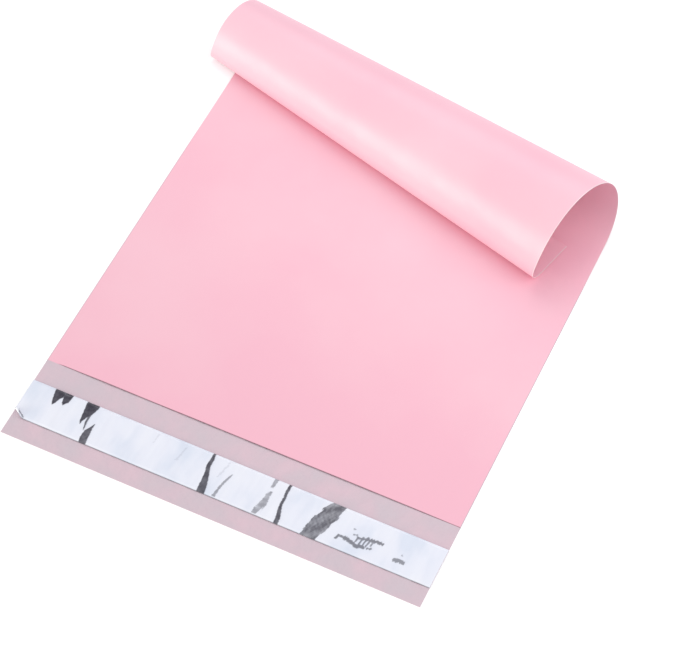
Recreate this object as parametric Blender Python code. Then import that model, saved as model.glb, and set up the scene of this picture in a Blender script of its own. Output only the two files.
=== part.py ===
"""A flat plastic mailing bag, lying face up with its closed end curled over.

The bag is one length of film, folded at its closed end. The back ply runs on
past the mouth as the flap, and both sides are welded. A band of adhesive lies
across the flap under a release liner. Units are metres and +Z is up. The
origin is on the underside of the back ply, in the middle of the mouth line.
"""

import math
from collections import namedtuple

import bmesh
import bpy
from mathutils import Quaternion, Vector

# The bag, measured flat
BAG_WIDTH = 0.254
BAG_LENGTH = 0.380
FLAP_LENGTH = 0.053
FILM = 0.00007
WELD_WIDTH = 0.006
FOLD_WIDTH = 0.0015

# The air between the two plies
POUCH_GAP = 0.0005
POUCH_RISE = 0.030

# The closing strip on the flap
LINER_SETBACK = 0.0124
LINER_WIDTH = 0.0254
LINER_FILM = 0.00006
ADHESIVE_WIDTH = 0.019
ADHESIVE_THICKNESS = 0.00012
ADHESIVE_END_MARGIN = 0.003
SEAT_GAP = 0.0003

# The curl: a cone whose point lies on the table, left of the bag. Film is
# measured along the bag's right edge, from where it lifts to the closed end.
CONE_POINT = 0.444
RISE_FILM = 0.0232
LOOP_FILM = 0.111
LOOP_TURN = math.radians(244.0)
TUCK_FILM = 0.027
TUCK_TURN = math.radians(118.5)
TUCK_CLEARANCE = 0.0007
END_FILM = 0.0192

# How finely the film is divided
RISE_ROWS = 6
LOOP_ROWS = 38
TUCK_ROWS = 14
STEPS_PER_ROW = 8
SEARCH_STEPS = 40
SIDE_COLUMN_SHARES = (0.0, 1 / 3, 2 / 3, 1.0)
END_ROW_SHARES = (0.5, 0.25, 0.0)
SHARP_ANGLE = math.radians(40.0)

POUCH_HEIGHT = 2 * FILM + POUCH_GAP
SHEET_LENGTH = FLAP_LENGTH + BAG_LENGTH

# A straight line of the film that passes through the cone's point: its angle
# in the flat sheet, its direction, the film's direction across it, and the
# normal of the film's upper side.
Frame = namedtuple("Frame", "angle along across normal")


def clear_scene():
    for obj in list(bpy.data.objects):
        bpy.data.objects.remove(obj, do_unlink=True)


def make_material(name, color, roughness):
    material = bpy.data.materials.new(name)
    material.use_nodes = True
    shader = material.node_tree.nodes["Principled BSDF"]
    shader.inputs["Base Color"].default_value = (*color, 1.0)
    shader.inputs["Roughness"].default_value = roughness
    shader.inputs["Metallic"].default_value = 0.0
    return material


def make_object(name, mesh_builder, material):
    """Turn a bmesh into a named object at the row's origin."""
    mesh = bpy.data.meshes.new(name)
    bmesh.ops.recalc_face_normals(mesh_builder, faces=mesh_builder.faces)
    mesh_builder.to_mesh(mesh)
    mesh_builder.free()
    mesh.materials.append(material)
    obj = bpy.data.objects.new(name, mesh)
    bpy.context.scene.collection.objects.link(obj)
    return obj


def smooth_step(share):
    """Ease from 0 to 1, level at both ends."""
    share = min(max(share, 0.0), 1.0)
    return share * share * (3.0 - 2.0 * share)


def advance(frame, spread, curvature):
    """Carry a frame across the film by an angle, bending as it goes."""
    spin = frame.normal + frame.along * curvature
    turn = Quaternion(spin.normalized(), spin.length * spread)
    return Frame(frame.angle + spread, turn @ frame.along, turn @ frame.across, turn @ frame.normal)


def bend(frame, spread, rows, curvature_at):
    """Frames along a bend whose curvature is a function of the share passed."""
    frames = []
    step = 1.0 / (rows * STEPS_PER_ROW)
    for row in range(rows):
        for part in range(STEPS_PER_ROW):
            middle = (row * STEPS_PER_ROW + part + 0.5) * step
            frame = advance(frame, spread * step, curvature_at(middle))
        frames.append(frame)
    return frames


def curl_frames():
    """The cone's point, and the frames from where the film leaves the table.

    The film rises, bends most at the back of the loop and less and less over
    its top, and is tucked under at the front. What is left of the bend at the
    end of the loop is the share that brings the tuck down to its clearance
    above the flat bag, on the left edge.
    """
    point = Vector((-CONE_POINT, SHEET_LENGTH - END_FILM, 0.0))
    right_reach = CONE_POINT + BAG_WIDTH
    rise_spread = RISE_FILM / right_reach
    loop_spread = LOOP_FILM / right_reach
    tuck_spread = TUCK_FILM / right_reach
    tuck_height = POUCH_HEIGHT + TUCK_CLEARANCE

    def build(share_left):
        peak = LOOP_TURN / (rise_spread / 2 + loop_spread * (1 + share_left) / 2)
        mean_tuck = TUCK_TURN / tuck_spread
        start_angle = -(rise_spread + loop_spread + tuck_spread)
        along = Vector((math.cos(start_angle), math.sin(start_angle), 0.0))
        across = Vector((-math.sin(start_angle), math.cos(start_angle), 0.0))
        start = Frame(start_angle, along, across, Vector((0.0, 0.0, 1.0)))
        rise = bend(start, rise_spread, RISE_ROWS, lambda u: peak * smooth_step(u))
        loop = bend(rise[-1], loop_spread, LOOP_ROWS, lambda u: peak * (1 - (1 - share_left) * u))
        tuck = bend(loop[-1], tuck_spread, TUCK_ROWS, lambda u: mean_tuck * (1 - math.cos(2 * math.pi * u)))
        return [start] + rise + loop + tuck

    low, high = 0.0, 1.0
    for _ in range(SEARCH_STEPS):
        middle = (low + high) / 2
        tuck = build(middle)[-TUCK_ROWS:]
        if min(frame.along.z for frame in tuck) * CONE_POINT > tuck_height:
            high = middle
        else:
            low = middle
    return point, build((low + high) / 2)


def place(point, frame, x, y, height):
    """Where a point of the flat sheet goes, at a height over its underside."""
    flat = Vector((x, y, 0.0)) - point
    swing = math.atan2(flat.y, flat.x) - frame.angle
    reach = frame.along * math.cos(swing) + frame.across * math.sin(swing)
    origin = Vector((BAG_WIDTH / 2, FLAP_LENGTH, 0.0))
    return point + reach * flat.length + frame.normal * height - origin


def sheet_rows(point, frames):
    """Rows across the film as (frame, function of x that gives y).

    They are level where the film is flat and follow the cone's straight lines
    in the curl. Also the numbers of the mouth's row and the pocket's last row.
    """
    def level(y):
        return lambda x: y

    def through_point(angle):
        return lambda x: point.y + (x - point.x) * math.tan(angle)

    first, last = frames[0], frames[-1]
    pocket_end = SHEET_LENGTH - FOLD_WIDTH
    rows = [(first, level(0.0)), (first, level(FLAP_LENGTH))]
    rows += [(frame, through_point(frame.angle)) for frame in frames]
    rows += [(last, level(pocket_end - POUCH_RISE * share)) for share in END_ROW_SHARES]
    rows += [(last, level(SHEET_LENGTH))]
    return rows, 1, len(rows) - 2


def sheet_columns():
    """Places across the bag: its edges, its welds and where the plies part."""
    left = [0.0] + [WELD_WIDTH + POUCH_RISE * share for share in SIDE_COLUMN_SHARES]
    right = [BAG_WIDTH - x for x in reversed(left)]
    return left + [BAG_WIDTH / 2] + right


def pouch_gap(x, y):
    """The air between the plies, closing towards the welds and the fold."""
    from_weld = min(x, BAG_WIDTH - x) - WELD_WIDTH
    from_fold = SHEET_LENGTH - FOLD_WIDTH - y
    return POUCH_GAP * smooth_step(from_weld / POUCH_RISE) * smooth_step(from_fold / POUCH_RISE)


def build_bag_film(material):
    """Both plies and the flap, as one closed body with an open mouth.

    Each row has an underside, a middle layer on top of the back ply, the front
    ply's inner side and its top. In the welds the plies are one thickness.
    """
    point, frames = curl_frames()
    rows, mouth, pocket = sheet_rows(point, frames)
    columns = sheet_columns()
    end = len(rows) - 1
    left, right = 0, len(columns) - 1
    weld_left, weld_right = left + 1, right - 1

    bm = bmesh.new()
    under, middle, inside, top = {}, {}, {}, {}
    for i, (frame, row_y) in enumerate(rows):
        for j, x in enumerate(columns):
            y = row_y(x)

            def new_vertex(height, beyond=0.0):
                return bm.verts.new(place(point, frame, x, y + beyond, height))

            in_pouch = weld_left <= j <= weld_right and mouth <= i <= pocket
            under[i, j] = new_vertex(0.0)
            if i <= mouth or in_pouch or j in (left, right) or i == end:
                middle[i, j] = new_vertex(FILM, beyond=FILM if i == end else 0.0)
            if i >= mouth:
                top[i, j] = new_vertex(2 * FILM + pouch_gap(x, y))
            if in_pouch:
                sealed = j in (weld_left, weld_right) or i == pocket
                inside[i, j] = middle[i, j] if sealed else new_vertex(FILM + pouch_gap(x, y))

    def skin(layer, row_range, column_range):
        for i in row_range:
            for j in column_range:
                bm.faces.new((layer[i, j], layer[i, j + 1], layer[i + 1, j + 1], layer[i + 1, j]))

    def wall(lower, upper, keys):
        for a, b in zip(keys, keys[1:]):
            corners = (lower[a], lower[b], upper[b], upper[a])
            bm.faces.new(list(dict.fromkeys(corners)))

    pouch_columns = range(weld_left, weld_right)
    skin(under, range(end), range(right))
    skin(middle, range(mouth), range(right))
    skin(middle, range(mouth, pocket), pouch_columns)
    skin(inside, range(mouth, pocket), pouch_columns)
    skin(top, range(mouth, end), range(right))

    wall(under, middle, [(0, j) for j in range(right + 1)])
    wall(under, middle, [(end, j) for j in range(right + 1)])
    wall(middle, top, [(end, j) for j in range(right + 1)])
    for side in (left, right):
        wall(under, middle, [(i, side) for i in range(end + 1)])
        wall(middle, top, [(i, side) for i in range(mouth, end + 1)])
    wall(middle, top, [(mouth, left), (mouth, weld_left)])
    wall(inside, top, [(mouth, j) for j in range(weld_left, weld_right + 1)])
    wall(middle, top, [(mouth, weld_right), (mouth, right)])

    bmesh.ops.triangulate(bm, faces=bm.faces, quad_method="FIXED")
    film = make_object("bag_film", bm, material)
    film.data.shade_smooth()
    film.data.set_sharp_from_angle(angle=SHARP_ANGLE)
    return film


def build_strip(name, low, high, material):
    """A flat strip between two opposite corners."""
    low, high = Vector(low), Vector(high)
    bm = bmesh.new()
    bmesh.ops.create_cube(bm, size=1.0)
    bmesh.ops.scale(bm, vec=high - low, verts=bm.verts)
    bmesh.ops.translate(bm, vec=(low + high) / 2, verts=bm.verts)
    return make_object(name, bm, material)


def build_closing_strip(adhesive_material, liner_material):
    """The adhesive on the flap's inner side, and the liner that covers it."""
    half_width = BAG_WIDTH / 2
    liner_low = LINER_SETBACK - FLAP_LENGTH
    liner_middle = liner_low + LINER_WIDTH / 2
    adhesive_base = FILM + SEAT_GAP
    liner_base = adhesive_base + ADHESIVE_THICKNESS + SEAT_GAP
    adhesive_reach = half_width - ADHESIVE_END_MARGIN
    build_strip(
        "adhesive_strip",
        (-adhesive_reach, liner_middle - ADHESIVE_WIDTH / 2, adhesive_base),
        (adhesive_reach, liner_middle + ADHESIVE_WIDTH / 2, adhesive_base + ADHESIVE_THICKNESS),
        adhesive_material,
    )
    build_strip(
        "release_liner",
        (-half_width, liner_low, liner_base),
        (half_width, liner_low + LINER_WIDTH, liner_base + LINER_FILM),
        liner_material,
    )


clear_scene()
build_bag_film(make_material("pink film", (0.94, 0.53, 0.66), 0.45))
build_closing_strip(
    make_material("hot melt adhesive", (0.86, 0.80, 0.74), 0.35),
    make_material("liner film", (0.86, 0.86, 0.93), 0.25),
)
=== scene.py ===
# %% [markdown]
# # A pink plastic mailing bag
#
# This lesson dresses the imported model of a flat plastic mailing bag. The bag
# lies face up: its flap is at the front, a pale release liner crosses the
# flap, and its closed end is curled over into a loose roll.
#
# The bag is made of film, and film bends but hardly stretches. So each new
# surface is worked out as a flat sheet first and then laid on the curl, which
# keeps every length true. Lengths are in metres.

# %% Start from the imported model
import math
import bpy
import numpy as np
from mathutils import Matrix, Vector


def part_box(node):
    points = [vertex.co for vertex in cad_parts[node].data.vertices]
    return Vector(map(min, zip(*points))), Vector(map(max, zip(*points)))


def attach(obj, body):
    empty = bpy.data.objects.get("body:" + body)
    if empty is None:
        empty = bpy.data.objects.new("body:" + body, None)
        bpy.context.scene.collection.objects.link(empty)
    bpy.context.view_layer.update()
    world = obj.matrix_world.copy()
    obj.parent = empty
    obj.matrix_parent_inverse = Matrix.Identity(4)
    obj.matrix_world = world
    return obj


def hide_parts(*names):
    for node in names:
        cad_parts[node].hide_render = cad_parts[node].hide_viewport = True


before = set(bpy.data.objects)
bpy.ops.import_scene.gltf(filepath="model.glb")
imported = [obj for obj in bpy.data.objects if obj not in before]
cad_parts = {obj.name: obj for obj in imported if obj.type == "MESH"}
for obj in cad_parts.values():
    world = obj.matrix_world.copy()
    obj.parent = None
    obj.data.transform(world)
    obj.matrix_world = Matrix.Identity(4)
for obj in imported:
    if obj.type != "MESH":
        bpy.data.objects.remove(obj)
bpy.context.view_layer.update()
MM = 0.001
print("packed nodes:", sorted(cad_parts))

# %% [markdown]
# ## The flat sheet
#
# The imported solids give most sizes. The liner is as wide as the bag, the film
# starts at the flap's edge, and the origin lies on the mouth line. What the
# solids can't tell, such as the film's gauge, is repeated here as a value.

# %% Sizes of the flat bag
liner_low, liner_high = (np.array(corner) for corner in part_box("release_liner"))
strip_low, strip_high = (np.array(corner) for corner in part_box("adhesive_strip"))

WIDTH = liner_high[0] - liner_low[0]
HALF_WIDTH = WIDTH / 2
FLAP_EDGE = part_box("bag_film")[0][1]
BAG_LENGTH = 0.380
FILM = 0.07 * MM
WELD_WIDTH = 6.0 * MM
FOLD_WIDTH = 1.5 * MM
POCKET_END = BAG_LENGTH - FOLD_WIDTH
POUCH_GAP = 0.5 * MM
POUCH_RISE = 30.0 * MM
MOUTH_GAP = 0.40 * MM
print("bag", round(WIDTH / MM, 1), "mm wide, flap", round(-FLAP_EDGE / MM, 1), "mm")

# %% [markdown]
# ## The curl
#
# A sheet that only bends keeps one straight line through each of its points.
# In this curl all those lines run through one point on the table, far to the
# left, so the roll is a cone: wider on the right than on the left. A line is
# found by its angle in the flat sheet. Walking across the film from line to
# line, three directions turn along: the line itself, the way across it, and
# the film's normal. The film's bend between two lines is a turn about the
# line, and the fan between them is a turn about the normal.

# %% Walk the film's three directions round the curl
CONE_POINT_LEFT = 0.444
RISE_FILM = 23.2 * MM
LOOP_FILM, LOOP_TURN = 111.0 * MM, math.radians(244.0)
TUCK_FILM, TUCK_TURN = 27.0 * MM, math.radians(118.5)
TUCK_CLEARANCE = 0.7 * MM
END_FILM = 19.2 * MM
RISE_STEPS, LOOP_STEPS, TUCK_STEPS = 60, 360, 180

CONE_POINT = np.array([-HALF_WIDTH - CONE_POINT_LEFT, BAG_LENGTH - END_FILM, 0.0])
RISE_SPREAD, LOOP_SPREAD, TUCK_SPREAD = (
    film / (CONE_POINT_LEFT + WIDTH) for film in (RISE_FILM, LOOP_FILM, TUCK_FILM)
)
line_steps = np.repeat(
    [RISE_SPREAD / RISE_STEPS, LOOP_SPREAD / LOOP_STEPS, TUCK_SPREAD / TUCK_STEPS],
    [RISE_STEPS, LOOP_STEPS, TUCK_STEPS],
)


def small_turns(curvature, step):
    """Rotation matrices of (curvature, 0, 1) * step, from their axis and angle."""
    spin = np.stack([curvature, np.zeros_like(curvature), np.ones_like(curvature)], axis=1)
    size = np.linalg.norm(spin, axis=1, keepdims=True)
    x, y, z = (spin / size).T
    angle = (size[:, 0] * step)[:, None, None]
    zero = np.zeros_like(x)
    cross = np.stack([zero, -z, y, z, zero, -x, -y, x, zero], axis=1).reshape(-1, 3, 3)
    return np.eye(3) + np.sin(angle) * cross + (1 - np.cos(angle)) * (cross @ cross)


def walk_curl(share_left):
    """Angles of the film's lines, and at each the three directions as columns.

    The curvature eases up over the rise, falls in a straight line over the loop
    to the share that is left, and follows 1 - cos over the tuck.
    """
    peak = LOOP_TURN / (RISE_SPREAD / 2 + LOOP_SPREAD * (1 + share_left) / 2)
    rise, loop, tuck = ((np.arange(n) + 0.5) / n for n in (RISE_STEPS, LOOP_STEPS, TUCK_STEPS))
    curvature = np.concatenate([
        peak * rise * rise * (3 - 2 * rise),
        peak * (1 - (1 - share_left) * loop),
        TUCK_TURN / TUCK_SPREAD * (1 - np.cos(2 * np.pi * tuck)),
    ])
    start = -(RISE_SPREAD + LOOP_SPREAD + TUCK_SPREAD)
    c, s = math.cos(start), math.sin(start)
    directions = [np.array([[c, -s, 0.0], [s, c, 0.0], [0.0, 0.0, 1.0]])]
    for turn in small_turns(curvature, line_steps):
        directions.append(directions[-1] @ turn)
    return start + np.concatenate([[0.0], np.cumsum(line_steps)]), np.array(directions)

# %% [markdown]
# The film bends most at the back of the loop and less over its top. The less
# bend is left at the end of the loop, the lower the tuck comes. Halving an
# interval again and again finds the share that lays it almost on the flat bag.

# %% Find the share of bend and keep the walk
HALVINGS = 30
tuck_height = 2 * FILM + POUCH_GAP + TUCK_CLEARANCE
lowest_share, highest_share = 0.0, 1.0
for _ in range(HALVINGS):
    trial = (lowest_share + highest_share) / 2
    tuck_lines = walk_curl(trial)[1][-TUCK_STEPS:, 2, 0]
    if tuck_lines.min() * CONE_POINT_LEFT > tuck_height:
        highest_share = trial
    else:
        lowest_share = trial
line_angles, line_directions = walk_curl(trial)
print("film lines walked:", len(line_angles), "bend left at the front:", round(trial, 2))


# %% Lay a point of the flat sheet on the curl
def direction_at(angle, column):
    """One of the three directions at any angle, read between the walked lines."""
    parts = [np.interp(angle, line_angles, line_directions[:, row, column]) for row in range(3)]
    direction = np.stack(parts, axis=-1)
    return direction / np.linalg.norm(direction, axis=-1, keepdims=True)


def lay(x, y, height):
    """Flat (x, y) and a height over the film's underside, to a place in space.

    The point's angle about the cone's point picks the line it is on. A point
    before the first line or past the last one lies in a flat part, and swings
    off that line by the angle that is left.
    """
    x, y, height = np.broadcast_arrays(x, y, height)
    dx, dy = x - CONE_POINT[0], y - CONE_POINT[1]
    reach, angle = np.hypot(dx, dy), np.arctan2(dy, dx)
    nearest = np.clip(angle, line_angles[0], line_angles[-1])
    swing = angle - nearest
    along, across, normal = (direction_at(nearest, column) for column in range(3))
    outward = along * np.cos(swing)[..., None] + across * np.sin(swing)[..., None]
    return CONE_POINT + outward * reach[..., None] + normal * height[..., None]


def line_y(angle, x):
    """Where the film's line of this angle crosses the flat sheet at x."""
    return CONE_POINT[1] + (x - CONE_POINT[0]) * np.tan(angle)


# %% [markdown]
# ## Gentle unevenness
#
# A sheet is never quite even. A few sine waves with random directions, added
# up, give a smooth uneven field with the wavelength that is asked for. Each
# field has its own seed, so it comes out the same every time.

# %% Helpers for smooth fields
def waves(x, y, wavelength, seed, stretch=1.0, count=9):
    """Sum of sines, about -1 to 1, of 0.7 to 1.5 times the wavelength each.

    A stretch above 1 makes the waves longer along y.
    """
    rng = np.random.default_rng(seed)
    total = np.zeros(np.broadcast(x, y).shape)
    for _ in range(count):
        heading = rng.uniform(0, np.pi)
        length = wavelength * rng.uniform(0.7, 1.5)
        phase = rng.uniform(0, 2 * np.pi)
        path = x * np.cos(heading) + y * np.sin(heading) / stretch
        total += np.sin(2 * np.pi * path / length + phase)
    return total / math.sqrt(2 * count)


def ease(share):
    """Smooth step: 0 below 0, 1 above 1, level at both ends."""
    share = np.clip(share, 0.0, 1.0)
    return share * share * (3 - 2 * share)


# %% [markdown]
# ## From arrays to a mesh
#
# Vertices and faces are both arrays, and foreach_set hands them to Blender in
# one go. Every face is a quad: the loop list holds the corners of all faces in
# turn, and the start list, which counts in fours, says where each face begins.
# A field is one value or one vector for each vertex, which a finish can read.

# %% Make a mesh from arrays
SHARP_ANGLE = math.radians(50.0)


def add_fields(mesh, fields):
    """Put each array into the mesh, as one value or one vector for each vertex."""
    for field, values in fields.items():
        kind, key = ("FLOAT", "value") if values.ndim == 1 else ("FLOAT_VECTOR", "vector")
        attribute = mesh.attributes.new(field, kind, "POINT")
        attribute.data.foreach_set(key, values.astype(np.float32).ravel())


def mesh_object(name, points, quads, materials, face_material=None, fields=None):
    """An object at the origin whose place is in its mesh."""
    mesh = bpy.data.meshes.new(name)
    mesh.vertices.add(len(points))
    mesh.vertices.foreach_set("co", np.asarray(points, dtype=np.float32).ravel())
    mesh.loops.add(quads.size)
    mesh.loops.foreach_set("vertex_index", quads.astype(np.int32).ravel())
    mesh.polygons.add(len(quads))
    mesh.polygons.foreach_set("loop_start", np.arange(0, quads.size, 4, dtype=np.int32))
    for material in materials:
        mesh.materials.append(material)
    if face_material is not None:
        mesh.polygons.foreach_set("material_index", face_material.astype(np.int32))
    add_fields(mesh, fields or {})
    mesh.update(calc_edges=True)
    mesh.validate()
    mesh.shade_smooth()
    mesh.set_sharp_from_angle(angle=SHARP_ANGLE)
    piece = bpy.data.objects.new(name, mesh)
    bpy.context.scene.collection.objects.link(piece)
    print(name, len(mesh.vertices), "points,", len(mesh.polygons), "faces")
    return piece


def grid_quads(numbers):
    """Quads of a grid of vertex numbers, counter-clockwise seen from above."""
    corners = [numbers[:-1, :-1], numbers[:-1, 1:], numbers[1:, 1:], numbers[1:, :-1]]
    return np.stack(corners, axis=-1).reshape(-1, 4)


# %% [markdown]
# ## Helpers for finishes
#
# A finish is a tree of nodes in front of one shader. Each helper adds one
# node, links what it reads and gives back what the next node reads, so that a
# finish can be written down one step at a time.

# %% Node helpers for the finishes
# Nearly all values of a noise lie in this range
NOISE_RANGE = (0.3, 0.7)


def start_material(name):
    """A new material, its node tree and its shader."""
    material = bpy.data.materials.new(name)
    material.use_nodes = True
    tree = material.node_tree
    return material, tree, tree.nodes["Principled BSDF"]


def add_node(tree, kind, **settings):
    """A node with its input sockets set from settings, by socket name."""
    node = tree.nodes.new(kind)
    for key, value in settings.items():
        node.inputs[key].default_value = value
    return node


def read_field(tree, field):
    """The node that reads a field of the mesh."""
    node = tree.nodes.new("ShaderNodeAttribute")
    node.attribute_name = field
    return node


def stretched_place(tree, source, scale):
    """A place times a scale on each axis: a pattern is longest where it is least."""
    mapping = add_node(tree, "ShaderNodeMapping", Scale=scale)
    tree.links.new(source, mapping.inputs["Vector"])
    return mapping.outputs["Vector"]


def noise(tree, place, scale, detail=2.0):
    """Smooth noise around 0.5, with finer noise on it as the detail rises."""
    node = add_node(tree, "ShaderNodeTexNoise", Scale=scale, Detail=detail)
    tree.links.new(place, node.inputs["Vector"])
    return node.outputs["Fac"]


def ramp(tree, factor, stops):
    """A colour ramp from (position, colour) pairs."""
    node = tree.nodes.new("ShaderNodeValToRGB")
    tree.links.new(factor, node.inputs["Fac"])
    first, last = node.color_ramp.elements
    first.position, first.color = stops[0][0], (*stops[0][1], 1.0)
    last.position, last.color = stops[-1][0], (*stops[-1][1], 1.0)
    for position, color in stops[1:-1]:
        node.color_ramp.elements.new(position).color = (*color, 1.0)
    return node.outputs["Color"]


def mapped(tree, value, from_range, to_range):
    """A value carried from one range to another, and held at both ends."""
    names = ("From Min", "From Max", "To Min", "To Max")
    node = add_node(tree, "ShaderNodeMapRange", **dict(zip(names, (*from_range, *to_range))))
    tree.links.new(value, node.inputs["Value"])
    return node.outputs["Result"]


def mixed_color(tree, amount, color, other):
    """A colour that turns into the other one as the amount goes from 0 to 1."""
    node = tree.nodes.new("ShaderNodeMix")
    node.data_type = "RGBA"
    tree.links.new(amount, node.inputs["Factor"])
    tree.links.new(color, node.inputs["A"])
    node.inputs["B"].default_value = (*other, 1.0)
    return node.outputs["Result"]


def bumped(tree, height, strength, depth, below=None):
    """The normal of a bump of this depth, laid on the bump below it if any."""
    node = add_node(tree, "ShaderNodeBump", Strength=strength, Distance=depth)
    tree.links.new(height, node.inputs["Height"])
    if below is not None:
        tree.links.new(below, node.inputs["Normal"])
    return node.outputs["Normal"]


# %% [markdown]
# ## Finishes of the film
#
# The film is blown from two layers: pink outside, and a greyer pink inside,
# which is the side that shows on the flap. Both are satin. The pattern reads
# the field called sheet, the flat place of each point, so that it follows the
# film round the curl. Broad clouds vary the colour a little, and near the mouth
# the pink is painted a shade deeper, a painted shade for the light that falls
# off there. Soft wrinkles, long faint draw lines that run the way the film was
# pulled, and a fine grain are laid over each other as bumps. Three more fields
# paint light and shade on the edges of the sheet: a thin painted shadow under
# the cut at the mouth, a painted grey shade along the welded sides, and a
# painted highlight on the sides where the roll lifts them.

# %% The two finishes of the film
# Painted light and shade at the film's edges: a shadow under the mouth's cut, shade along the sides, a
# highlight where the roll lifts them
EDGE_PAINTED_LIGHT = {
    "mouth edge shadow": (0.15, 0.05, 0.075),
    "side edge shade": (0.58, 0.44, 0.50),
    "lifted edge highlight": (0.98, 0.87, 0.88),
}
PAINTED_SHADE_UNTIL = 0.150
CLOUD_DETAIL = 5.0
GLOSS_SCALE = 60.0
DRAW_LINE_SCALE = (260.0, 9.0, 1.0)
GRAIN_SCALE = 1400.0


def film_color(tree, place, stops, cloud_scale, painted_shade_at_mouth):
    """Clouds of colour, with painted shade near the mouth and painted light and shade at the edges."""
    split = tree.nodes.new("ShaderNodeSeparateXYZ")
    tree.links.new(place, split.inputs["Vector"])
    # Painted shade: the colour is pushed darker towards the mouth, where less light fell
    mouth_painted_shade = mapped(tree, split.outputs["Y"], (0.0, PAINTED_SHADE_UNTIL), (-painted_shade_at_mouth, 0.0))
    clouds = tree.nodes.new("ShaderNodeMath")
    tree.links.new(noise(tree, place, cloud_scale, CLOUD_DETAIL), clouds.inputs[0])
    tree.links.new(mouth_painted_shade, clouds.inputs[1])
    color = ramp(tree, clouds.outputs["Value"], stops)
    for field, painted_edge_color in EDGE_PAINTED_LIGHT.items():
        color = mixed_color(tree, read_field(tree, field).outputs["Fac"], color, painted_edge_color)
    return color


def film_relief(tree, place, wrinkle_scale, wrinkle_depth):
    """Soft wrinkles, long draw lines on them, and a fine grain on top."""
    wrinkles = bumped(tree, noise(tree, place, wrinkle_scale), strength=1.0, depth=wrinkle_depth)
    draw_lines = noise(tree, stretched_place(tree, place, DRAW_LINE_SCALE), 1.0)
    lines = bumped(tree, draw_lines, strength=0.10, depth=0.10 * MM, below=wrinkles)
    grain = noise(tree, place, GRAIN_SCALE, detail=3.0)
    return bumped(tree, grain, strength=0.12, depth=0.03 * MM, below=lines)


def film_finish(
    name, stops, roughness, cloud_scale, wrinkle_scale, wrinkle_depth, painted_shade_at_mouth=0.0
):
    """Satin film: uneven colour, an uneven gloss and a shallow relief."""
    material, tree, shader = start_material(name)
    place = read_field(tree, "sheet").outputs["Vector"]
    color = film_color(tree, place, stops, cloud_scale, painted_shade_at_mouth)
    tree.links.new(color, shader.inputs["Base Color"])
    gloss = mapped(tree, noise(tree, place, GLOSS_SCALE), NOISE_RANGE, roughness)
    tree.links.new(gloss, shader.inputs["Roughness"])
    relief = film_relief(tree, place, wrinkle_scale, wrinkle_depth)
    tree.links.new(relief, shader.inputs["Normal"])
    shader.inputs["IOR"].default_value = 1.51
    shader.inputs["Specular IOR Level"].default_value = 0.75
    return material


pink_film = film_finish(
    "pink film outside",
    stops=[(0.30, (0.972, 0.506, 0.619)), (0.50, (0.978, 0.547, 0.645)), (0.68, (0.980, 0.578, 0.676))],
    roughness=(0.36, 0.42),
    cloud_scale=9.0,
    wrinkle_scale=32.0,
    wrinkle_depth=0.45 * MM,
    painted_shade_at_mouth=0.20,
)
grey_film = film_finish(
    "grey pink film inside",
    stops=[(0.34, (0.665, 0.545, 0.605)), (0.50, (0.695, 0.540, 0.605)), (0.68, (0.745, 0.542, 0.615))],
    roughness=(0.34, 0.42),
    cloud_scale=55.0,
    wrinkle_scale=150.0,
    wrinkle_depth=0.60 * MM,
)

# %% [markdown]
# ## The bag's film
#
# One sheet makes the whole bag. The back ply runs on past the mouth as the
# flap, the front ply ends at the mouth, and both meet in the side welds and in
# the fold at the closed end. On a grid that is four layers: the underside, the
# top of the back ply, the front ply's inner side and its top. Rows are level
# where the bag is flat, lean over towards the curl, and then follow the cone's
# lines, so that the bend is always across a row and never along it. One row
# and one column stand close to the edges, to keep the edge colours narrow.

# %% Rows and columns of the film
CUT_EDGE_WIDTH = 0.55 * MM
FLAP_ROWS, FLAT_ROWS, TAIL_ROWS = 19, 48, 12
LINES_PER_ROW = 4
FLAT_CROWDING, RISE_CROWDING = 1.15, 1.1
WELD_COLUMNS, RISE_COLUMNS, MIDDLE_COLUMNS = 4, 12, 24


def shares(count):
    """Even shares of a stretch, from the first one after 0 up to 1."""
    return np.linspace(0.0, 1.0, count + 1)[1:]


def film_rows(x):
    """The flat y of every row, as an array of rows by columns.

    Even rows cross the flap. The next ones turn from level to the slant of the
    curl's first line, and one of them keeps close to the mouth. Then come every
    fourth line of the curl, even rows up to the fold, and the fold itself.
    """
    flap = np.linspace(FLAP_EDGE, 0.0, FLAP_ROWS)[:, None] + 0 * x
    first_line, last_line = line_y(line_angles[0], x), line_y(line_angles[-1], x)
    lean = shares(FLAT_ROWS)[:, None] ** FLAT_CROWDING
    flat = CUT_EDGE_WIDTH + np.concatenate([0 * lean[:1], lean]) * (first_line - CUT_EDGE_WIDTH)
    picks = np.arange(LINES_PER_ROW, len(line_angles), LINES_PER_ROW)
    curl = line_y(line_angles[picks][:, None], x)
    tail = last_line + shares(TAIL_ROWS)[:, None] * (POCKET_END - last_line)
    fold = np.full((1, len(x)), BAG_LENGTH)
    return np.concatenate([flap, flat, curl, tail, fold]), len(flap) - 1


def film_columns():
    """Places across the bag, close together near the edges and the welds."""
    weld = np.concatenate([[0.0], np.linspace(CUT_EDGE_WIDTH, WELD_WIDTH, WELD_COLUMNS)])
    rise = WELD_WIDTH + shares(RISE_COLUMNS) ** RISE_CROWDING * POUCH_RISE
    middle = np.linspace(WELD_WIDTH + POUCH_RISE, HALF_WIDTH, MIDDLE_COLUMNS)[1:]
    half = np.concatenate([weld, rise, middle])
    return np.concatenate([half, WIDTH - half[-2::-1]]) - HALF_WIDTH, len(weld) - 1


columns, weld_column = film_columns()
rows, mouth_row = film_rows(columns)
sheet_x = np.broadcast_to(columns, rows.shape)
sheet_y = rows
print("film grid:", rows.shape, "mouth at row", mouth_row)


# %% Heights of the film's four layers
MOUTH_WAVE, SWELL = 0.10 * MM, 0.16 * MM
LEAST_GAP = 0.06 * MM


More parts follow.
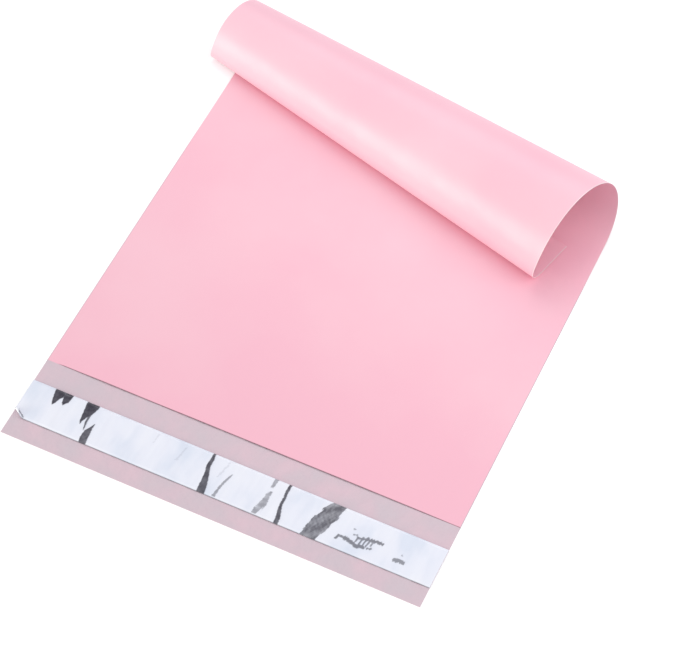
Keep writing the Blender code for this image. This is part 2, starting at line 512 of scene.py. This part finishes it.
def pouch_gap(x, y):
    """Air between the plies: even in the middle, closed at welds and fold.

    The plies lie closer together at the mouth, where the front ply's edge only
    waves a little, and long shallow waves run down the bag.
    """
    from_weld = HALF_WIDTH - np.abs(x) - WELD_WIDTH
    from_fold = POCKET_END - y
    room = ease(from_weld / POUCH_RISE) * ease(from_fold / POUCH_RISE)
    inside = ease(y / POUCH_RISE)
    edge_wave = MOUTH_WAVE * (1 - inside) * waves(x, 0 * y, wavelength=60 * MM, seed=11)
    swell = SWELL * waves(x, y, wavelength=95 * MM, seed=12, stretch=2.2) * inside
    even = MOUTH_GAP + (POUCH_GAP - MOUTH_GAP) * inside
    return room * np.maximum(even + edge_wave + swell, LEAST_GAP)


gap = pouch_gap(sheet_x, sheet_y)
back_under = lay(sheet_x, sheet_y, 0.0)
# At the fold the middle layer stands out by one gauge, which rounds the edge
nose = np.zeros_like(sheet_y)
nose[-1] = FILM
back_top = lay(sheet_x, sheet_y + nose, FILM)
front_under = lay(sheet_x, sheet_y, FILM + gap)
front_top = lay(sheet_x, sheet_y, 2 * FILM + gap)
print("pouch opens", round(gap.max() / MM, 2), "mm at most")

# %% [markdown]
# The layers share their vertices where the plies are joined. A table of vertex
# numbers for each layer makes that simple: along the welds and the fold the
# front ply's inner side has the same numbers as the top of the back ply.
# Points that no face uses, such as the front ply's on the flap, are dropped.

# %% Join the layers into one closed skin
row_count, column_count = sheet_x.shape
cells = row_count * column_count
under_no = np.arange(cells).reshape(row_count, column_count)
back_no = under_no + cells
inner_no = under_no + 2 * cells
top_no = under_no + 3 * cells
left_weld, right_weld = weld_column, column_count - 1 - weld_column
pocket_row = row_count - 2
inner_no[:, left_weld] = back_no[:, left_weld]
inner_no[:, right_weld] = back_no[:, right_weld]
inner_no[pocket_row] = back_no[pocket_row]

pouch = (slice(mouth_row, pocket_row + 1), slice(left_weld, right_weld + 1))


def wall(lower, upper):
    """Quads between two lines of vertex numbers, facing right of their run."""
    return np.stack([lower[:-1], lower[1:], upper[1:], upper[:-1]], axis=-1)


lip = inner_no[mouth_row].copy()
lip[:left_weld + 1] = back_no[mouth_row, :left_weld + 1]
lip[right_weld:] = back_no[mouth_row, right_weld:]
inside_faces = [
    grid_quads(back_no[:mouth_row + 1]),
    grid_quads(back_no[pouch]),
    grid_quads(inner_no[pouch])[:, ::-1],
]
outside_faces = [
    grid_quads(under_no)[:, ::-1],
    grid_quads(top_no[mouth_row:]),
    wall(under_no[0], back_no[0]),
    wall(lip, top_no[mouth_row]),
    wall(under_no[-1, ::-1], back_no[-1, ::-1]),
    wall(back_no[-1, ::-1], top_no[-1, ::-1]),
    wall(under_no[::-1, 0], back_no[::-1, 0]),
    wall(back_no[:mouth_row - 1:-1, 0], top_no[:mouth_row - 1:-1, 0]),
    wall(under_no[:, -1], back_no[:, -1]),
    wall(back_no[mouth_row:, -1], top_no[mouth_row:, -1]),
]
film_quads = np.concatenate(outside_faces + inside_faces)
outside_count = sum(len(faces) for faces in outside_faces)
film_side = np.repeat([0, 1], [outside_count, len(film_quads) - outside_count])

layers = (back_under, back_top, front_under, front_top)
film_points = np.concatenate([layer.reshape(-1, 3) for layer in layers])
used = np.unique(film_quads)
renumber = np.zeros(len(film_points), dtype=int)
renumber[used] = np.arange(len(used))
print("skin:", len(used), "of", len(film_points), "points used")

# %% [markdown]
# Fields paint light and shade on the edges. A painted shadow lies under the
# cut at the mouth and fades out at the left weld. Along each side a painted
# grey shade hands over to a painted highlight where the roll begins to lift
# the film.

# %% Mark the edges and make the film's mesh
MOUTH_SHADOW_FADE = 4 * MM
HIGHLIGHT_FROM, HIGHLIGHT_FADE = 160 * MM, 40 * MM

flat_place = np.stack([sheet_x, sheet_y, 0 * sheet_x], axis=-1).reshape(-1, 3)
# A painted shadow under the cut at the mouth
mouth_edge_shadow = np.zeros(len(film_points))
mouth_shadow_share = ease((columns + HALF_WIDTH - WELD_WIDTH) / MOUTH_SHADOW_FADE)
mouth_edge_shadow[inner_no[mouth_row, left_weld + 1:right_weld]] = mouth_shadow_share[left_weld + 1:right_weld]
mouth_edge_shadow[top_no[mouth_row]] = mouth_shadow_share
# Along the sides: painted grey shade, turning into a painted highlight where the roll lifts them
at_side = np.zeros_like(sheet_y)
at_side[mouth_row:, [0, -1]] = 1.0
lifted = at_side * ease((sheet_y - HIGHLIGHT_FROM) / HIGHLIGHT_FADE)
bag_film = mesh_object(
    "bag_film_skin", film_points[used], renumber[film_quads], [pink_film, grey_film], film_side,
    {
        "sheet": np.tile(flat_place, (4, 1))[used],
        "mouth edge shadow": mouth_edge_shadow[used],
        "side edge shade": np.tile((at_side - lifted).ravel(), 4)[used],
        "lifted edge highlight": np.tile(lifted.ravel(), 4)[used],
    },
)
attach(bag_film, "root")
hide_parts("bag_film")

# %% [markdown]
# ## The adhesive band
#
# Hot melt is squeezed onto the flap through a slot, so the band has a low
# rounded section with faint lines along it, and its edges wander a little. It
# is clear and tacky. The liner hides nearly all of it.

# %% The adhesive finish and its band
BAND_RINGS, RING_POINTS = 160, 32
END_ROUNDING = 2 * MM


def adhesive_finish():
    """Clear glossy melt with faint streaks along it, in colour and in height."""
    material, tree, shader = start_material("clear hot melt")
    place = add_node(tree, "ShaderNodeTexCoord").outputs["Object"]
    streaks = noise(tree, stretched_place(tree, place, (30.0, 900.0, 1.0)), 1.0)
    colors = [(0.35, (0.62, 0.52, 0.54)), (0.65, (0.74, 0.66, 0.66))]
    tree.links.new(ramp(tree, streaks, colors), shader.inputs["Base Color"])
    tree.links.new(bumped(tree, streaks, strength=0.4, depth=0.05 * MM), shader.inputs["Normal"])
    shader.inputs["Roughness"].default_value = 0.22
    return material


def tube_quads(ring_count, ring_points):
    """Quads between closed rings that stand in a row, facing outwards."""
    numbers = np.arange(ring_count * ring_points).reshape(ring_count, ring_points)
    closed = np.concatenate([numbers, numbers[:, :1]], axis=1)
    return grid_quads(closed)


def adhesive_band():
    """A low oval section carried from end to end.

    Across it the section is the root of the cosine, which makes it broad, and
    upwards it is the sine. Its height falls to nothing at both ends with the
    root of the distance, so that the last rings are flat and closed. Its width
    wanders by a few hundredths, and is a tenth less at the ends.
    """
    along = np.linspace(strip_low[0], strip_high[0], BAND_RINGS)
    turn = np.linspace(0, 2 * np.pi, RING_POINTS, endpoint=False)
    from_end = np.minimum(along - strip_low[0], strip_high[0] - along)
    closing = np.sqrt(np.clip(from_end / END_ROUNDING, 0.0, 1.0))
    middle = (strip_low + strip_high) / 2
    half = (strip_high - strip_low) / 2
    wander = 1.0 - 0.03 * (1 + waves(along, 0 * along, wavelength=18 * MM, seed=21))
    width = half[1] * wander * (0.9 + 0.1 * closing)
    y = middle[1] + np.sign(np.cos(turn)) * np.abs(np.cos(turn)) ** 0.5 * width[:, None]
    z = middle[2] + np.sin(turn) * half[2] * closing[:, None]
    points = np.stack([np.broadcast_to(along[:, None], y.shape), y, z], axis=-1)
    return points.reshape(-1, 3), tube_quads(len(along), len(turn))


adhesive_points, adhesive_quads = adhesive_band()
adhesive = mesh_object("adhesive_band", adhesive_points, adhesive_quads, [adhesive_finish()])
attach(adhesive, "root")
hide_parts("adhesive_strip")

# %% [markdown]
# ## The release liner
#
# The liner is a thin glossy film that only lies on the adhesive. It sits high
# where the adhesive is, drops at both long edges, and is creased from being
# wound and cut. Where creases stand up and tilt, the dark of the surroundings
# that their gloss would show is painted into the colour as a painted
# reflection. Fainter patches are painted shade of soft wrinkles. A patch is a
# short list of its two edges, at a few heights up the liner, and a stroke is a
# short run of places, all in millimetres. One field holds how dark each point
# is, and the same field lifts the surface, so the creases also stand up in the
# shape. The liner's low edge has a thin painted shadow line of its own.

# %% Creases of the liner, with their painted reflection
# Each row: heights up the liner, left edge and right edge there, darkness, raggedness
# The dark patches are a painted reflection of dark surroundings in the creased gloss
PATCHES = [
    (
        (14.8, 16.8, 19.8, 21.5, 26.0),
        (17.2, 16.2, 15.4, 15.0, 14.2),
        (17.2, 18.4, 19.4, 20.8, 20.8), 1.0, 0.10,
    ),
    (
        (17.2, 18.3, 19.8, 22.8, 26.0),
        (22.6, 21.7, 21.4, 20.6, 20.6),
        (23.0, 23.8, 25.0, 25.4, 25.7), 1.0, 0.10,
    ),
    (
        (10.4, 12.3, 15.3, 18.3, 22.8, 26.0),
        (37.2, 36.3, 35.8, 35.4, 34.6, 34.5),
        (37.5, 37.6, 38.8, 40.7, 42.1, 42.3), 1.0, 0.10,
    ),
    (
        (7.6, 9.3, 12.3, 15.3, 18.0),
        (40.8, 40.3, 39.4, 39.2, 38.9),
        (41.2, 41.0, 40.7, 40.5, 40.6), 0.9, 0.10,
    ),
    (
        (-1.0, 3.3, 7.8, 10.8, 13.8),
        (42.3, 41.5, 41.9, 43.4, 44.8),
        (46.6, 46.0, 45.4, 45.2, 45.1), 0.95, 0.15,
    ),
    # These three faint patches are painted shade of soft wrinkles
    ((17.0, 24.5), (79.3, 80.0), (80.2, 80.6), 0.12, 0.4),
    ((12.4, 22.4), (95.7, 97.4), (96.9, 98.2), 0.14, 0.4),
    (
        (-1.0, 2.3, 6.3, 12.3, 16.3, 22.3, 26.0),
        (115.1, 114.9, 114.6, 114.0, 112.8, 113.1, 113.0),
        (119.8, 119.6, 118.7, 116.9, 115.5, 115.1, 114.4), 0.95, 0.15,
    ),
    ((12.6, 24.1), (121.0, 123.8), (122.2, 124.6), 0.15, 0.4),
    ((0.8, 6.3, 12.3, 17.3), (124.0, 124.7, 126.0, 128.0), (126.0, 126.1, 127.5, 128.7), 0.62, 0.2),
    ((19.3, 26.0), (150.7, 150.6), (152.2, 153.2), 0.62, 0.3),
    (
        (0.8, 4.3, 8.3, 12.3, 17.0),
        (147.6, 148.2, 149.5, 149.9, 151.8),
        (150.9, 152.2, 153.4, 153.0, 153.0), 0.62, 0.6,
    ),
    (
        (-1.0, 4.3, 8.3, 11.3, 16.3, 20.3, 26.0),
        (161.6, 161.2, 160.3, 159.8, 159.8, 159.3, 159.3),
        (164.5, 163.8, 162.6, 161.5, 161.4, 161.0, 161.0), 0.95, 0.15,
    ),
    (
        (-1.0, 6.3, 12.3, 16.3, 20.3, 26.0),
        (177.2, 178.4, 179.6, 182.0, 182.6, 186.4),
        (185.8, 188.7, 190.4, 192.2, 192.6, 193.8), 0.88, 0.45,
    ),
]
# Each row: places along a stroke as (across, up), half width, darkness, raggedness
# The strokes are painted reflection in the same way
STROKES = [
    (((195.9, 5.9), (196.9, 8.2), (200.5, 7.9)), 0.70, 0.74, 0.25),
    (((200.5, 7.9), (204.5, 7.1), (208.5, 6.1), (211.5, 6.9)), 1.15, 0.74, 0.35),
    (((214.2, 7.2), (216.2, 7.9)), 0.60, 0.70, 0.30),
    (((206.6, 11.2), (209.4, 11.4), (212.0, 12.2)), 0.65, 0.72, 0.35),
    (((212.0, 12.2), (216.5, 12.9), (220.2, 13.2)), 0.95, 0.74, 0.40),
    (((204.2, 11.9), (205.8, 12.3)), 0.50, 0.60, 0.30),
    (((207.2, 11.6), (206.4, 7.6)), 0.45, 0.66, 0.20),
    (((209.6, 12.6), (208.7, 6.8)), 0.50, 0.70, 0.20),
    (((211.9, 13.4), (210.8, 7.2)), 0.50, 0.70, 0.20),
    (((214.0, 13.4), (212.9, 8.0)), 0.50, 0.66, 0.20),
    (((215.9, 13.2), (215.0, 9.2)), 0.42, 0.62, 0.20),
    (((203.0, 15.2), (203.7, 15.2)), 0.45, 0.6, 0.2),
    (((230.3, 7.0), (232.5, 7.7), (234.8, 7.4)), 1.25, 0.66, 0.35),
    (((232.9, 11.3), (233.1, 11.3)), 0.35, 0.5, 0.2),
    # This stroke is a painted shadow along the fold of the rolled corner
    (((0.2, 4.7), (2.8, 3.7), (6.9, 0.9)), 0.32, 0.80, 0.1),
]
PAINTED_MARK_EDGE = 0.35
FIRST_PATCH_SEED, FIRST_STROKE_SEED = 40, 80


def patch_shade(across, up):
    """How dark the patches make the liner, 0 to 1, at places in millimetres.

    A place is dark where it lies inside both edges, the foot and the head.
    Waves of 2.4 and 1.1 mm fray those limits, and waves of 6, 2.8 and 1.3 mm
    thin out the dark inside. Both grow with the patch's raggedness.
    """
    dark = np.zeros_like(across)
    for seed, (heights, lefts, rights, depth, ragged) in enumerate(PATCHES, FIRST_PATCH_SEED):
        fray = ragged * (waves(across, up, 2.4, seed) + 0.6 * waves(across, up, 1.1, seed + 100))
        from_left = across - np.interp(up, heights, lefts) + fray
        from_right = np.interp(up, heights, rights) - across + fray
        from_foot, from_head = up - heights[0] + 0.5 * fray, heights[-1] - up - 0.5 * fray
        nearest = np.minimum(np.minimum(from_left, from_right), np.minimum(from_foot, from_head))
        mottle = waves(across, up, 6.0, seed + 200) + 0.7 * waves(across, up, 2.8, seed + 300)
        thinned = 1.0 - 0.28 * ragged * (1 + mottle + 0.4 * waves(across, up, 1.3, seed + 400))
        dark = np.maximum(dark, ease(nearest / PAINTED_MARK_EDGE + 0.5) * depth * np.clip(thinned, 0.35, 1.0))
    return dark


def stroke_shade(across, up):
    """Dark within a half width of a stroke's nearest straight stretch.

    Waves of 1.5 mm, drawn out upwards, fray that half width.
    """
    dark = np.zeros_like(across)
    for seed, (places, half, depth, ragged) in enumerate(STROKES, FIRST_STROKE_SEED):
        away = np.full_like(across, np.inf)
        for (x0, y0), (x1, y1) in zip(places[:-1], places[1:]):
            run, climb = x1 - x0, y1 - y0
            share = ((across - x0) * run + (up - y0) * climb) / (run ** 2 + climb ** 2)
            share = np.clip(share, 0.0, 1.0)
            away = np.minimum(away, np.hypot(across - x0 - share * run, up - y0 - share * climb))
        fray = ragged * waves(across, up, 1.5, seed, stretch=2.5)
        dark = np.maximum(dark, depth * ease((half + fray - away) / PAINTED_MARK_EDGE + 0.5))
    return dark


# %% [markdown]
# The liner's lower left corner has lifted and rolled over on itself. A corner
# rolls about a slanting line: the distance past that line is wound round a
# small circle, so it first rises and then comes back over.

# %% Shape of the liner
LINER_FILM = 0.06 * MM
CELL_ACROSS, CELL_UP = 0.28 * MM, 0.50 * MM
REST_BELOW_TOP = 0.04 * MM
EDGE_DROP, EDGE_DROP_WIDTH = 0.42 * MM, 1.4 * MM
HELD_WIDTH = 1.5 * MM
CREASE_RISE = 0.22 * MM
LOW_EDGE_PAINTED_SHADOW = 0.7
CORNER_ACROSS, CORNER_UP = 8.2 * MM, 5.2 * MM
CORNER_RADIUS = 1.15 * MM


def roll_corner(points):
    """Wind what lies past the corner's slanting line round a small circle."""
    toward = np.array([-1 / CORNER_ACROSS, -1 / CORNER_UP])
    toward /= np.linalg.norm(toward)
    start = np.array([liner_low[0] + CORNER_ACROSS, liner_low[1]])
    past = np.maximum((points[..., :2] - start) @ toward, 0.0)
    angle = past / CORNER_RADIUS
    rolled = points.copy()
    rolled[..., :2] += (CORNER_RADIUS * np.sin(angle) - past)[..., None] * toward
    rolled[..., 2] += CORNER_RADIUS * (1 - np.cos(angle))
    return rolled


def liner_surface():
    """Grid points of the liner's upper side, and how dark each one is.

    Its height is level, less a drop at both long edges, plus a crinkle of two
    sums of waves, plus a rise where the painted reflection and shade are dark.
    crinkle fades to less than half, and the rise to nothing.
    """
    up_count = int((liner_high[1] - liner_low[1]) / CELL_UP) + 1
    x, y = np.meshgrid(
        np.linspace(liner_low[0], liner_high[0], int(WIDTH / CELL_ACROSS)),
        np.linspace(liner_low[1], liner_high[1], up_count),
    )
    across, up = (x - liner_low[0]) / MM, (y - liner_low[1]) / MM
    shade = np.maximum(patch_shade(across, up), stroke_shade(across, up))
    # A thin painted shadow line along the liner's low edge
    shade[0] = np.maximum(shade[0], LOW_EDGE_PAINTED_SHADOW)
    from_edge = np.minimum(y - liner_low[1], liner_high[1] - y)
    drop = (1 - ease(from_edge / EDGE_DROP_WIDTH)) * EDGE_DROP
    held = ease(from_edge / HELD_WIDTH)
    broad = 0.11 * MM * waves(across, up, wavelength=11.0, seed=31, stretch=3.0)
    fine = 0.045 * MM * waves(across, up, wavelength=4.5, seed=32, stretch=2.5)
    crinkle = (broad + fine) * (0.4 + 0.6 * held)
    z = liner_high[2] - REST_BELOW_TOP - drop + crinkle + CREASE_RISE * shade * held
    return roll_corner(np.stack([x, y, z], axis=-1)), shade


liner_top, liner_shade = liner_surface()
liner_heights = liner_top[..., 2] / MM
print("liner", round(liner_heights.min(), 2), "to", round(liner_heights.max(), 2), "mm up")


# %% [markdown]
# Thickness comes from the grid's own normals: the underside is the upper side
# moved one gauge along them, so that it follows the rolled corner as well.

# %% Close the liner and give it its finish
def grid_normals(points):
    """Unit normals of a grid, from the cross product of its two directions."""
    along, up = np.gradient(points, axis=1), np.gradient(points, axis=0)
    normal = np.cross(along, up)
    return normal / np.linalg.norm(normal, axis=-1, keepdims=True)


def closed_sheet(top_points, thickness):
    """Points and quads of a sheet with an underside and four edge walls."""
    under_points = top_points - grid_normals(top_points) * thickness
    points = np.concatenate([top_points.reshape(-1, 3), under_points.reshape(-1, 3)])
    shape = top_points.shape[:2]
    top = np.arange(shape[0] * shape[1]).reshape(shape)
    under = top + top.size
    quads = [
        grid_quads(top), grid_quads(under)[:, ::-1],
        wall(under[0], top[0]), wall(under[-1, ::-1], top[-1, ::-1]),
        wall(under[::-1, 0], top[::-1, 0]), wall(under[:, -1], top[:, -1]),
    ]
    return points, np.concatenate(quads)


# The darker, bluer stops of these clouds are painted crinkle shade on the pale film
LINER_PALE = [(0.34, (0.77, 0.81, 0.93)), (0.50, (0.87, 0.88, 0.98)), (0.68, (0.91, 0.91, 0.99))]
LINER_PAINTED_REFLECTION = (0.022, 0.016, 0.036)


def liner_finish():
    """Glossy pale film, painted crinkle shade in bluish clouds, painted reflection on the creases."""
    material, tree, shader = start_material("crinkled release film")
    place = add_node(tree, "ShaderNodeTexCoord").outputs["Object"]
    clouds = noise(tree, stretched_place(tree, place, (1.0, 0.6, 1.0)), 45.0, detail=3.0)
    pale = ramp(tree, clouds, LINER_PALE)
    # Painted reflection and shade: the liner's field mixes in a near black
    painted_reflection_and_shade = read_field(tree, "painted_reflection_and_shade").outputs["Fac"]
    tree.links.new(mixed_color(tree, painted_reflection_and_shade, pale, LINER_PAINTED_REFLECTION), shader.inputs["Base Color"])
    ripples = noise(tree, stretched_place(tree, place, (420.0, 110.0, 1.0)), 1.0, detail=3.0)
    tree.links.new(bumped(tree, ripples, strength=0.25, depth=0.06 * MM), shader.inputs["Normal"])
    shader.inputs["Roughness"].default_value = 0.16
    shader.inputs["IOR"].default_value = 1.52
    shader.inputs["Coat Weight"].default_value = 0.3
    shader.inputs["Coat Roughness"].default_value = 0.06
    return material


liner_points, liner_quads = closed_sheet(liner_top, LINER_FILM)
liner = mesh_object(
    "release_liner_film", liner_points, liner_quads, [liner_finish()],
    fields={"painted_reflection_and_shade": np.tile(liner_shade.ravel(), 2)},
)
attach(liner, "root")
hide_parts("release_liner")

# %% [markdown]
# ## Floor, light and camera
#
# The bag lies on a plain white table in even light. A faintly cool sky does
# most of the work. A low, slightly warm panel at the front left puts the pale
# band on the near side of the roll. A small panel behind the bag leaves a
# light veil on the flat film near the roll, and one at the right fills the
# roll's open end. The floor is lifted to white for the camera alone, so that
# it doesn't throw more light on the bag, and it keeps the bag's shadow.

# %% Floor and sky
FLOOR_HALF, FLOOR_DEPTH, FLOOR_LIFT = 4.0, 0.1 * MM, 0.25


def floor_finish(lift):
    """A dull white that takes shadows, plus an even glow for the camera alone."""
    material, tree, shader = start_material("white table")
    shader.inputs["Base Color"].default_value = (0.92, 0.92, 0.92, 1.0)
    shader.inputs["Roughness"].default_value = 0.9
    glow = add_node(tree, "ShaderNodeEmission", Strength=lift)
    nothing = add_node(tree, "ShaderNodeEmission", Strength=0.0)
    seen = tree.nodes.new("ShaderNodeLightPath")
    choose = tree.nodes.new("ShaderNodeMixShader")
    tree.links.new(seen.outputs["Is Camera Ray"], choose.inputs["Fac"])
    tree.links.new(nothing.outputs["Emission"], choose.inputs[1])
    tree.links.new(glow.outputs["Emission"], choose.inputs[2])
    add = tree.nodes.new("ShaderNodeAddShader")
    tree.links.new(shader.outputs["BSDF"], add.inputs[0])
    tree.links.new(choose.outputs["Shader"], add.inputs[1])
    tree.links.new(add.outputs["Shader"], tree.nodes["Material Output"].inputs["Surface"])
    return material


corner_places = np.array([[-1, -1], [1, -1], [1, 1], [-1, 1]]) * FLOOR_HALF
corners = np.column_stack([corner_places, np.full(4, -FLOOR_DEPTH)])
floor = mesh_object("table_top", corners, np.array([[0, 1, 2, 3]]), [floor_finish(FLOOR_LIFT)])

world = bpy.data.worlds.new("white sky")
bpy.context.scene.world = world
world.use_nodes = True
sky = world.node_tree.nodes["Background"]
sky.inputs["Color"].default_value = (0.98, 1.0, 1.02, 1.0)
sky.inputs["Strength"].default_value = 0.765

# %% Soft panels
# Each row: name, direction from the roll, distance, width and height, watts, colour
PANELS = [
    ("front panel", (-0.66, -0.74, 0.14), 1.5, (1.1, 0.40), 9.4, (1.0, 0.98, 0.82)),
    ("back panel", (-0.12, 0.58, 0.80), 0.45, (0.5, 0.25), 0.42, (1.0, 1.0, 1.0)),
    ("right panel", (0.80, 0.05, 0.50), 0.7, (0.5, 0.4), 1.0, (1.0, 0.97, 0.97)),
]
ROLL_MIDDLE = np.array([0.0, 0.22, 0.02])


def aim(obj, position, target):
    """Place an object at a position with its -Z axis towards a target, kept level."""
    back = np.asarray(position) - np.asarray(target)
    back = back / np.linalg.norm(back)
    right = np.cross((0.0, 0.0, 1.0), back)
    right /= np.linalg.norm(right)
    up = np.cross(back, right)
    matrix = np.eye(4)
    matrix[:3, :4] = np.stack([right, up, back, position], axis=1)
    obj.matrix_world = Matrix(matrix.tolist())


def soft_panel(name, direction, distance, size, watts, color):
    """A rectangle of light that looks at the middle of the roll."""
    light = bpy.data.lights.new(name, "AREA")
    light.shape = "RECTANGLE"
    light.size, light.size_y = size
    light.energy = watts
    light.color = color
    panel = bpy.data.objects.new(name, light)
    bpy.context.scene.collection.objects.link(panel)
    aim(panel, ROLL_MIDDLE + np.array(direction) * distance, ROLL_MIDDLE)


for panel_row in PANELS:
    soft_panel(*panel_row)

# %% [markdown]
# The camera was worked out from the straight edges of the bag: a long lens,
# 25 degrees to the right of the bag's length and 55 degrees above the table.

# %% Camera
PHOTO_WIDTH = 679
FOCAL_PIXELS = 2427.0
CAMERA_AZIMUTH, CAMERA_HEIGHT_ANGLE = math.radians(25.4), math.radians(55.4)
CAMERA_DISTANCE = 1.3805
CAMERA_TARGET = np.array([0.0109, 0.0928, 0.0])

toward_camera = np.array([
    math.sin(CAMERA_AZIMUTH) * math.cos(CAMERA_HEIGHT_ANGLE),
    -math.cos(CAMERA_AZIMUTH) * math.cos(CAMERA_HEIGHT_ANGLE),
    math.sin(CAMERA_HEIGHT_ANGLE),
])
camera_data = bpy.data.cameras.new("camera")
camera_data.sensor_width = 36.0
camera_data.lens = camera_data.sensor_width * FOCAL_PIXELS / PHOTO_WIDTH
camera = bpy.data.objects.new("camera", camera_data)
bpy.context.scene.collection.objects.link(camera)
aim(camera, CAMERA_TARGET + toward_camera * CAMERA_DISTANCE, CAMERA_TARGET)
bpy.context.scene.camera = camera
bpy.context.scene.view_settings.view_transform = "Standard"
print("lens", round(camera_data.lens, 1), "mm")

# %% [markdown]
# ## Finish

bpy.context.view_layer.update()
